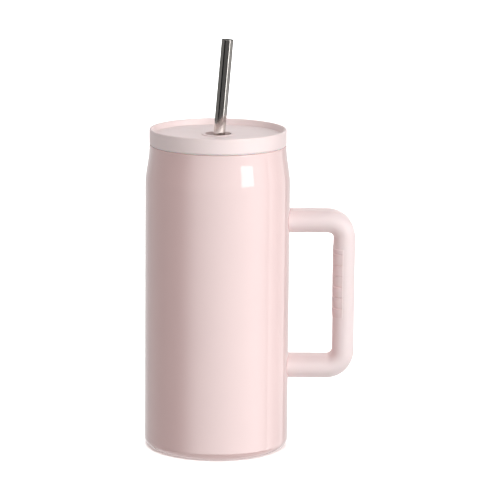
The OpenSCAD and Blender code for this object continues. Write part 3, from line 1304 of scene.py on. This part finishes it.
    def _recess(self) -> bmesh.types.BMesh:
        """Builds the solid that the pad's recess is cut with."""
        deep = self.pad_deep + self.fit
        reach = self.pad_reach + self.fit
        return self._band(CUTTER_PROUD, deep, reach, self.pad_low - self.fit, self.pad_high + self.fit)

    def _saddle_room(self, low: Vector, high: Vector) -> bmesh.types.BMesh:
        """Builds the room for a lug's saddle plate, which lies on the vessel's wall.

        Args:
            low: the lug's low corner.
            high: the lug's high corner.

        Returns:
            The closed mesh.
        """
        gap = 2 * self.fit
        near, far = self.root_radius - gap, self.root_radius + self.saddle_thick + gap
        under, over = low.z - gap, high.z + gap
        corners = [Corner(near, under), Corner(far, under), Corner(far, over), Corner(near, over)]
        mesh = Outline(corners).spin()
        clip_mesh(mesh, (0, high.y + gap, 0), (0, 1, 0))
        clip_mesh(mesh, (0, low.y - gap, 0), (0, -1, 0))
        clip_mesh(mesh, (0, 0, 0), (-1, 0, 0))
        bmesh.ops.recalc_face_normals(mesh, faces=mesh.faces)
        return mesh

    def _tongue_room(self, low: Vector, high: Vector) -> bmesh.types.BMesh:
        """Builds the room for the tongue of a lug.

        Args:
            low: the lug's low corner.
            high: the lug's high corner.

        Returns:
            The closed mesh.
        """
        gap = 2 * self.fit
        side = self.tongue_wide / 2 + gap
        half = self.tongue_high / 2 + gap
        middle = (low.z + high.z) / 2
        near, far = self.root_radius, high.x + gap
        corners = [Corner(near, -side), Corner(far, -side), Corner(far, side), Corner(near, side)]
        return Outline(corners, plane=Plane.LEVEL).push(middle - half, middle + half)

    def _wells_at(self) -> list[Vector]:
        """Gives the middle of each screw well's mouth, in the arms' undersides."""
        heights = (self.bottom, self.top - self.arm_thick)
        return [Vector((self.screw_across, 0, height)) for height in heights]

    def _screw_wells(self) -> bmesh.types.BMesh:
        """Builds the solids that the screw wells are cut with."""
        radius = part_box("screw_plugs")[1].y + self.fit
        through = self.arm_thick / 2 - self.tongue_high / 2
        deep = through - self.fit - self.seat_thick
        corners = [
            Corner(0, -CUTTER_PROUD / 2),
            Corner(radius, -CUTTER_PROUD / 2),
            Corner(radius, deep),
            Corner(self.shank_radius, deep),
            Corner(self.shank_radius, through),
            Corner(0, through),
        ]
        return repeat_mesh(Outline(corners, closed=False).spin(self.well_steps), self._wells_at())

    def pad(self) -> bpy.types.Object:
        """Builds the soft finger pad with its grooves."""
        band = self._band(self.pad_proud, self.pad_deep, self.pad_reach, self.pad_low, self.pad_high)
        piece = finish_piece("finger_pad", band)
        half = self.groove_high / 2
        one = self._band(CUTTER_PROUD, self.groove_deep, self.groove_reach, -half, half)
        first = self.pad_low + self.groove_first
        places = [Vector((0, 0, first + i * self.groove_pitch)) for i in range(self.groove_count)]
        cut_away(piece, repeat_mesh(one, places))
        soften_edges(piece, self.pad_softness)
        self.wardrobe.dress(piece, PAD_RUBBER)
        return piece

    def plugs(self) -> bpy.types.Object:
        """Builds the two soft plugs under the arms."""
        low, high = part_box("screw_plugs")
        radius = high.y
        thick = high.z - (self.top - self.arm_thick)
        corners = [
            Corner(0, 0),
            Corner(radius, 0, self.plug_softness),
            Corner(radius, thick, self.plug_softness / 2),
            Corner(0, thick),
        ]
        one = Outline(corners, closed=False).spin(self.plug_steps)
        piece = finish_piece("screw_plug_pair", repeat_mesh(one, self._wells_at()))
        self.wardrobe.dress(piece, PLUG_RUBBER)
        return piece


# ---------------------------------------------------------------- the lid


@dataclass
class Lid:
    """The press-in lid: banded shell, sunk deck, plug, seal and straw ring."""

    wardrobe: Wardrobe
    fit: float = 0.00005
    run: float = 0.00007
    band_thick: float = 0.0023
    rim_wide: float = 0.00185
    ledge_thick: float = 0.0015
    ledge_inside: float = 0.042
    plug_wall: float = 0.0017
    plug_floor: float = 0.0018
    plug_radius: float = 0.0434
    seal_skirt: float = 0.0005
    seal_flange: float = 0.0005
    fin_pitch: float = 0.0034
    fin_high: float = 0.0016
    fin_count: int = 2
    fin_first: float = 0.001
    fin_slope: float = 0.7
    neck_inset: float = 0.0016
    seal_softness: float = 0.0001
    foot_thick: float = 0.0015
    band_softness: float = 0.0005
    plug_softness: float = 0.0006
    tube_radius: float = 0.0104
    well_radius: float = 0.009
    guide_radius: float = 0.0062
    socket_radius: float = 0.00687
    socket_steps: int = 10
    well_floor: float = 0.0042
    well_softness: float = 0.0004
    ring_softness: float = 0.0003
    soft: float = 0.00018

    def __post_init__(self) -> None:
        """Takes the main sizes from the frame."""
        low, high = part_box("lid_shell")
        self.radius = high.x
        self.band_low = low.z
        self.rim = high.z
        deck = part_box("lid_deck")
        self.deck = deck[1].z
        self.deck_low = deck[0].z
        self.seat = deck[1].x + self.fit
        self.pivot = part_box("straw_ring")[0].z

    def build(self) -> None:
        """Builds and dresses every piece of the lid."""
        settle(self.shell(), "lid", "lid_shell")
        settle(self.deck_disc(), "lid", "lid_deck")
        settle(self.plug(), "lid", "lid_plug")
        settle(self.ring(), "lid", "straw_ring")
        settle(self.seal(), "seal", "lid_seal")

    def shell(self) -> bpy.types.Object:
        """Builds the banded rim with the ledge that carries the deck."""
        inside = self.radius - self.band_thick
        ledge_top = self.deck_low - self.fit
        rounding = self.rim_wide / 2 - HOLD / 10
        root = self.plug_radius + self.fit
        corners = [
            Corner(root, self.band_low, self.soft),
            Corner(self.radius, self.band_low, self.band_softness),
            Corner(self.radius, self.rim, rounding),
            Corner(self.radius - self.rim_wide, self.rim, rounding),
            Corner(self.seat, self.deck, self.soft),
            Corner(inside, ledge_top, self.soft / 2),
            Corner(self.ledge_inside, ledge_top, self.soft),
            Corner(self.ledge_inside, ledge_top - self.ledge_thick, self.soft),
            Corner(inside, ledge_top - self.ledge_thick, self.soft),
            Corner(inside, self.band_low + self.foot_thick, self.soft),
            Corner(root, self.band_low + self.foot_thick, self.soft),
        ]
        return self.wardrobe.spun("lid_band", corners, LID_PLASTIC)

    def deck_disc(self) -> bpy.types.Object:
        """Builds the sunk disc between the rim and the straw ring."""
        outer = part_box("lid_deck")[1].x
        corners = [
            Corner(self.tube_radius + self.fit, self.deck_low, self.soft),
            Corner(outer, self.deck_low, self.soft),
            Corner(outer, self.deck, self.soft),
            Corner(self.tube_radius + self.fit, self.deck, self.soft),
        ]
        return self.wardrobe.spun("deck_disc", corners, DECK_PLASTIC)

    def plug(self) -> bpy.types.Object:
        """Builds the hollow plug that goes into the neck, with the bush's lower seat."""
        low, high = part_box("lid_plug")
        floor = low.z + self.plug_floor
        lip = high.x
        seat_top = self.pivot - self.fit
        corners = [
            Corner(self.guide_radius, low.z, self.soft),
            Corner(lip, low.z, self.plug_softness),
            Corner(lip, floor, self.plug_softness / 2),
            Corner(self.plug_radius, floor, self.soft),
            Corner(self.plug_radius, high.z, self.soft),
            Corner(self.plug_radius - self.plug_wall, high.z, self.soft),
            Corner(self.plug_radius - self.plug_wall, floor, self.soft),
            Corner(self.tube_radius, floor, self.soft),
            Corner(self.tube_radius, seat_top, self.soft),
            *self._socket(seat_top, self.pivot - self._socket_drop()),
        ]
        return self.wardrobe.spun("lid_plug_cup", corners, LID_PLASTIC)

    def _socket_drop(self) -> float:
        """Gives how far below the pivot the ball's seat meets the straw's guide hole."""
        return math.sqrt(self.socket_radius**2 - self.guide_radius**2)

    def _socket(self, start: float, end: float) -> list[Corner]:
        """Gives points along the ball's seat between two heights.

        Args:
            start: height of the first point.
            end: height of the last point.

        Returns:
            The points, as corners that aren't rounded.
        """
        first = math.asin((start - self.pivot) / self.socket_radius)
        last = math.asin((end - self.pivot) / self.socket_radius)
        steps = self.socket_steps
        angles = [first + (last - first) * i / steps for i in range(steps + 1)]
        points = [self.socket_radius * Vector((math.cos(angle), math.sin(angle))) for angle in angles]
        return [Corner(point.x, self.pivot + point.y) for point in points]

    def ring(self) -> bpy.types.Object:
        """Builds the raised ring, its well and the upper seat of the straw's bush."""
        low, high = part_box("straw_ring")
        flange = self.deck + self.fit
        well_floor = self.pivot + self.well_floor
        corners = [
            Corner(self.tube_radius, low.z, self.soft),
            Corner(self.tube_radius, flange, self.soft),
            Corner(high.x, flange, self.soft / 2),
            Corner(high.x, high.z, self.ring_softness),
            Corner(self.well_radius, high.z, self.ring_softness),
            Corner(self.well_radius, well_floor, self.well_softness),
            *self._socket(well_floor, low.z),
        ]
        return self.wardrobe.spun("straw_hole_ring", corners, LID_PLASTIC)

    def seal(self) -> bpy.types.Object:
        """Builds the silicone seal: a skirt, its fins and the flange on the mouth."""
        low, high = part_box("lid_seal")
        inner = self.plug_radius + self.run
        skirt = inner + self.seal_skirt
        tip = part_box("inner_liner")[1].x - self.neck_inset - self.run
        soft = self.seal_softness
        corners = [Corner(inner, low.z, soft), Corner(skirt, low.z, soft)]
        for i in range(self.fin_count):
            base = low.z + self.fin_first + i * self.fin_pitch
            corners += [
                Corner(skirt, base, soft),
                Corner(tip, base + self.fin_high * self.fin_slope, soft),
                Corner(tip, base + self.fin_high, soft),
                Corner(skirt, base + self.fin_high, soft),
            ]
        corners += [
            Corner(skirt, high.z - self.seal_flange, soft),
            Corner(high.x, high.z - self.seal_flange, soft),
            Corner(high.x, high.z, soft),
            Corner(inner, high.z, soft),
        ]
        return self.wardrobe.spun("lid_seal_ring", corners, SEAL_SILICONE)


# ---------------------------------------------------------------- the straw


@dataclass
class Straw:
    """The leaning steel straw and the ball-sided bush that holds it."""

    wardrobe: Wardrobe
    radius: float = 0.004
    wall: float = 0.0005
    run: float = 0.00007
    ball_radius: float = 0.0068
    ball_half: float = 0.0042
    ball_steps: int = 16
    bore_softness: float = 0.0003

    def __post_init__(self) -> None:
        """Takes the bush's centre and the straw's line from the frame's joints."""
        joints = {joint["name"]: joint for joint in frame["joints"]}
        self.pivot = Vector(joints["straw_lean"]["pos_m"])
        self.line = Vector(joints["straw_draw"]["axis"]).normalized()
        low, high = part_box("straw")
        lean = self.line.z
        side = math.sqrt(1 - lean**2)
        spare = (self.radius - self.wall / 2) * side + self.wall / 2
        self.above = (high.z - self.pivot.z - spare) / lean + self.wall / 2
        self.below = (self.pivot.z - low.z - spare) / lean + self.wall / 2

    def _place(self, piece: bpy.types.Object) -> bpy.types.Object:
        """Leans a piece and moves it to the bush's centre, in its mesh.

        Args:
            piece: the piece, built upright about the origin.

        Returns:
            The same piece.
        """
        lean = Vector((0, 0, 1)).rotation_difference(self.line).to_matrix().to_4x4()
        piece.data.transform(Matrix.Translation(self.pivot) @ lean)
        return piece

    def build(self) -> None:
        """Builds and dresses the straw and its bush."""
        settle(self.bush(), "bush", "straw_bush")
        settle(self.tube(), "straw", "straw")

    def bush(self) -> bpy.types.Object:
        """Builds the bush, a ball cut flat above and below with the straw's bore."""
        bore = self.radius + self.run
        rim = math.sqrt(self.ball_radius**2 - self.ball_half**2)
        reach = math.asin(self.ball_half / self.ball_radius)
        steps = self.ball_steps
        angles = [reach * (2 * i / steps - 1) for i in range(1, steps)]
        ball = [Corner(self.ball_radius * math.cos(a), self.ball_radius * math.sin(a)) for a in angles]
        corners = [
            Corner(bore, -self.ball_half, self.bore_softness),
            Corner(rim, -self.ball_half),
            *ball,
            Corner(rim, self.ball_half),
            Corner(bore, self.ball_half, self.bore_softness),
        ]
        return self._place(self.wardrobe.spun("straw_ball_bush", corners, BUSH_SILICONE))

    def tube(self) -> bpy.types.Object:
        """Builds the steel tube with its rounded ends."""
        inner = self.radius - self.wall
        rounding = self.wall / 2 - 0.00001
        corners = [
            Corner(inner, -self.below, rounding),
            Corner(self.radius, -self.below, rounding),
            Corner(self.radius, self.above, rounding),
            Corner(inner, self.above, rounding),
        ]
        lean = -math.atan2(self.line.x, self.line.z)
        steel = replace(STRAW_STEEL, ring_centre=tuple(self.pivot), ring_lean=lean)
        return self._place(self.wardrobe.spun("steel_tube", corners, steel))


# ---------------------------------------------------------------- parts kept from the frame

KEPT_PARTS: dict[str, Finish] = {
    "vacuum_bead": BEAD_GLASS,
    "getter": GETTER_METAL,
    "getter_clip": LUG_STEEL,
    "upper_lug": LUG_STEEL,
    "lower_lug": LUG_STEEL,
    "handle_screws": SCREW_STEEL,
}


def dress_kept_parts(wardrobe: Wardrobe) -> None:
    """Gives the CAD nodes that stay in view their finishes.

    Args:
        wardrobe: hands out the materials.
    """
    for node, finish in KEPT_PARTS.items():
        wardrobe.dress(frame["nodes"][node], finish)
        log.info("%s keeps its CAD shape, in %s", node, finish.name)


# ---------------------------------------------------------------- the studio


HANDLE_PIECES = frozenset(
    ("handle_frame", "finger_pad", "screw_plug_pair", "upper_lug", "lower_lug", "handle_screws")
)


class Sight(Enum):
    """What a light reaches: matt surfaces, reflections or both."""

    BOTH = "both"
    MATT = "matt"
    GLOSS = "gloss"


class Audience(Enum):
    """The pieces that a light falls on."""

    ALL = "all"
    FLOOR = "floor"
    STRAW = "straw"
    BUT_STRAW = "but_straw"
    SHELL = "shell"


@dataclass(frozen=True)
class SoftBox:
    """A soft light, placed by its bearing from the front towards the handle's side."""

    name: str
    bearing: float
    distance: float
    height: float
    wide: float
    tall: float
    radiance: float
    aim: float
    sight: Sight = Sight.BOTH
    audience: Audience = Audience.ALL
    handle_blocks: bool = True

    def place(self) -> bpy.types.Object:
        """Adds the light to the scene and gives it."""
        light = bpy.data.lights.new(self.name, "AREA")
        light.shape = "RECTANGLE"
        light.size = self.wide
        light.size_y = self.tall
        light.energy = self.radiance * math.pi * self.wide * self.tall
        lamp = bpy.data.objects.new(self.name, light)
        bearing = math.radians(self.bearing)
        lamp.location = (
            self.distance * math.sin(bearing),
            -self.distance * math.cos(bearing),
            self.height,
        )
        toward = Vector((0, 0, self.aim)) - lamp.location
        lamp.rotation_mode = "QUATERNION"
        lamp.rotation_quaternion = toward.to_track_quat("-Z", "Y")
        lamp.visible_camera = False
        lamp.visible_diffuse = self.sight is not Sight.GLOSS
        lamp.visible_glossy = self.sight is not Sight.MATT
        bpy.context.scene.collection.objects.link(lamp)
        return lamp


@dataclass(frozen=True)
class GlossWall:
    """A tall curved screen that only reflections show, and whose glow changes round it.

    The glow is given from straight behind, round by the left, the front and the handle's side.
    """

    radius: float = 2.2
    low: float = -1.3
    high: float = 2.4
    first_bearing: float = -180.0
    bearing_step: float = 10.0
    back_glow: tuple[float, ...] = (0.9, 0.9, 0.9, 0.9, 0.8, 0.8, 0.8, 0.7, 0.6)
    left_glow: tuple[float, ...] = (0.6, 0.7, 0.8, 1.1, 1.9, 3.0, 3.9, 4.5, 5.0)
    right_glow: tuple[float, ...] = (5.4, 5.7, 6.0, 6.2, 6.3, 6.5, 6.5, 6.1, 5.2, 3.8)
    far_glow: tuple[float, ...] = (2.4, 1.5, 1.1, 0.9, 0.9, 0.9, 0.9, 0.9, 0.9)

    def place(self) -> bpy.types.Object:
        """Adds the screen to the scene and gives it."""
        mesh = bmesh.new()
        layer = mesh.verts.layers.float.new("glow")
        before: list[bmesh.types.BMVert] = []
        glow = (*self.back_glow, *self.left_glow, *self.right_glow, *self.far_glow)
        for i, value in enumerate(glow):
            bearing = math.radians(self.first_bearing + i * self.bearing_step)
            across, along = self.radius * math.sin(bearing), -self.radius * math.cos(bearing)
            now = [mesh.verts.new((across, along, height)) for height in (self.low, self.high)]
            for point in now:
                point[layer] = value
            if before:
                mesh.faces.new((before[0], before[1], now[1], now[0]))
            before = now
        screen = finish_piece("gloss_wall", mesh)
        glowing = bpy.data.materials.new("screen_glow")
        glowing.use_nodes = True
        glowing.node_tree.nodes.clear()
        sheet = NodeSheet(glowing.node_tree)
        strength = sheet.add("Attribute", attribute_name="glow").outputs["Fac"]
        shine = sheet.add("Emission", {"Strength": strength})
        sheet.add("OutputMaterial", {"Surface": shine.outputs[0]})
        screen.data.materials.append(glowing)
        screen.visible_camera = False
        screen.visible_diffuse = False
        screen.visible_shadow = False
        return screen


@dataclass
class Studio:
    """The camera, the pale floor and the soft lights."""

    camera_away: float = 1.9569
    camera_high: float = 0.5315
    pitch_deg: float = 11.359
    yaw_deg: float = 0.663
    roll_deg: float = 0.545
    lens: float = 207.38
    sensor: float = 36.0
    floor_radius: float = 14.0
    wall_rounding: float = 3.0
    wall_height: float = 8.0
    floor_light: float = 1.22
    floor_light_deg: float = 60.0
    world_light: float = 0.06
    boxes: tuple[SoftBox, ...] = (
        SoftBox("overhead_box", 0, 0.05, 2.0, 1.6, 1.6, 1.6, 0.0),
        SoftBox("under_glow", 0, 0.05, -1.2, 3.0, 3.0, 1.2, 0.0),
        SoftBox("far_left_fill", -90, 2.0, 0.9, 0.8, 1.8, 2.4, 0.1, Sight.MATT),
        SoftBox("left_fill", -60, 2.0, 0.9, 0.8, 1.8, 1.4, 0.1, Sight.MATT),
        SoftBox("front_fill", 15, 2.0, 0.9, 0.9, 1.8, 2.2, 0.1, Sight.MATT, handle_blocks=False),
        SoftBox("right_fill", 42, 2.0, 0.9, 1.0, 1.8, 3.0, 0.1, Sight.MATT, handle_blocks=False),
        SoftBox("far_right_fill", 78, 2.4, 1.0, 2.0, 2.0, 2.7, 0.1, Sight.MATT, handle_blocks=False),
        SoftBox("side_window", 112, 1.8, 0.1, 1.5, 2.6, 1.3, 0.1, Sight.GLOSS, Audience.SHELL),
        SoftBox("back_fill", 180, 2.4, 0.9, 2.4, 2.0, 2.2, 0.1, Sight.MATT),
        SoftBox("key_window", 48, 1.5, 0.72, 0.60, 1.00, 4.0, 0.15, Sight.GLOSS),
        SoftBox("straw_strip", 54, 1.5, 0.10, 0.30, 1.60, 3.2, 0.10, Sight.GLOSS, Audience.STRAW),
        SoftBox("straw_side", 100, 1.5, 0.10, 1.60, 2.00, 0.45, 0.10, Sight.GLOSS, Audience.STRAW),
        SoftBox("straw_front", 0, 1.8, 0.10, 2.80, 2.40, 0.12, 0.10, Sight.GLOSS, Audience.STRAW),
        SoftBox("straw_left", -95, 1.8, 0.10, 2.80, 2.40, 0.20, 0.10, Sight.GLOSS, Audience.STRAW),
    )

    def build(self) -> None:
        """Sets up everything that isn't part of the tumbler, once its pieces are there."""
        pieces = [thing for thing in bpy.context.scene.objects if thing.type == "MESH"]
        straws = [piece for piece in pieces if piece.name == "steel_tube"]
        self.camera()
        floor = self.floor()
        self.world()
        audiences = {
            Audience.FLOOR: [floor],
            Audience.STRAW: straws,
            Audience.BUT_STRAW: [piece for piece in pieces if piece not in straws],
            Audience.SHELL: [piece for piece in pieces if piece.name == "shell_wall"],
        }
        blockers = bpy.data.collections.new("blockers_but_the_handle")
        for piece in pieces:
            if piece.name in HANDLE_PIECES:
                piece.visible_glossy = False
            else:
                blockers.objects.link(piece)
        self._aim(self.top_light(), audiences[Audience.FLOOR])
        self._aim(GlossWall().place(), audiences[Audience.BUT_STRAW])
        for box in self.boxes:
            lamp = box.place()
            if box.audience in audiences:
                self._aim(lamp, audiences[box.audience])
            if not box.handle_blocks:
                lamp.light_linking.blocker_collection = blockers
        bpy.context.scene.view_settings.view_transform = "Standard"
        log.info("studio with %d soft boxes", len(self.boxes))

    @staticmethod
    def _aim(light: bpy.types.Object, audience: list[bpy.types.Object]) -> None:
        """Lets a light fall on some pieces alone.

        Args:
            light: the light.
            audience: the pieces that it falls on.
        """
        seen = bpy.data.collections.new(light.name + "_falls_on")
        for piece in audience:
            seen.objects.link(piece)
        light.light_linking.receiver_collection = seen

    def top_light(self) -> bpy.types.Object:
        """Adds the even light from above that keeps the floor pale, and gives it."""
        light = bpy.data.lights.new("floor_light", "SUN")
        light.energy = math.pi * self.floor_light
        light.angle = math.radians(self.floor_light_deg)
        lamp = bpy.data.objects.new("floor_light", light)
        lamp.location = (0, 0, 3)
        bpy.context.scene.collection.objects.link(lamp)
        return lamp

    def camera(self) -> None:
        """Places the camera in front, a little above the lid."""
        pitch = math.radians(self.pitch_deg)
        yaw = math.radians(self.yaw_deg)
        roll = math.radians(self.roll_deg)
        forward = Vector((math.sin(yaw) * math.cos(pitch), math.cos(yaw) * math.cos(pitch), -math.sin(pitch)))
        right = Vector((math.cos(yaw), -math.sin(yaw), 0))
        up = right.cross(forward)
        across = math.cos(roll) * right + math.sin(roll) * up
        upright = -math.sin(roll) * right + math.cos(roll) * up
        data = bpy.data.cameras.new("camera")
        data.lens = self.lens
        data.sensor_width = self.sensor
        data.clip_start = 0.05
        data.clip_end = 60.0
        camera = bpy.data.objects.new("camera", data)
        turned = Matrix((across, upright, -forward)).transposed().to_4x4()
        camera.matrix_world = Matrix.Translation((0, -self.camera_away, self.camera_high)) @ turned
        bpy.context.scene.collection.objects.link(camera)
        bpy.context.scene.camera = camera

    def floor(self) -> bpy.types.Object:
        """Builds the pale floor, which curves up into a wall all round, and gives it."""
        corners = [
            Corner(0, 0),
            Corner(self.floor_radius, 0, self.wall_rounding),
            Corner(self.floor_radius, self.wall_height),
        ]
        floor = finish_piece("studio_floor", Outline(corners, closed=False).spin(96))
        floor.data.flip_normals()
        paper = bpy.data.materials.new("pale_paper")
        paper.use_nodes = True
        shader = paper.node_tree.nodes["Principled BSDF"]
        shader.inputs["Base Color"].default_value = (0.86, 0.855, 0.85, 1)
        shader.inputs["Roughness"].default_value = 0.9
        shader.inputs["Specular IOR Level"].default_value = 0.1
        floor.data.materials.append(paper)
        floor.visible_glossy = False
        floor.visible_diffuse = False
        floor.visible_shadow = False
        return floor

    def world(self) -> None:
        """Fills the room with a little even light."""
        world = bpy.data.worlds.new("studio_world")
        world.use_nodes = True
        back = world.node_tree.nodes["Background"]
        back.inputs["Color"].default_value = (1.0, 0.98, 0.96, 1)
        back.inputs["Strength"].default_value = self.world_light
        bpy.context.scene.world = world


# ---------------------------------------------------------------- the whole scene


def main() -> None:
    """Builds the studio, the tumbler's pieces and their finishes, in order."""
    logging.basicConfig(level=logging.INFO, format="%(name)s: %(message)s")
    wardrobe = Wardrobe()
    for part in (Vessel(wardrobe), Handle(wardrobe), Lid(wardrobe), Straw(wardrobe)):
        part.build()
    dress_kept_parts(wardrobe)
    Studio().build()


if __name__ == "__main__":
    main()
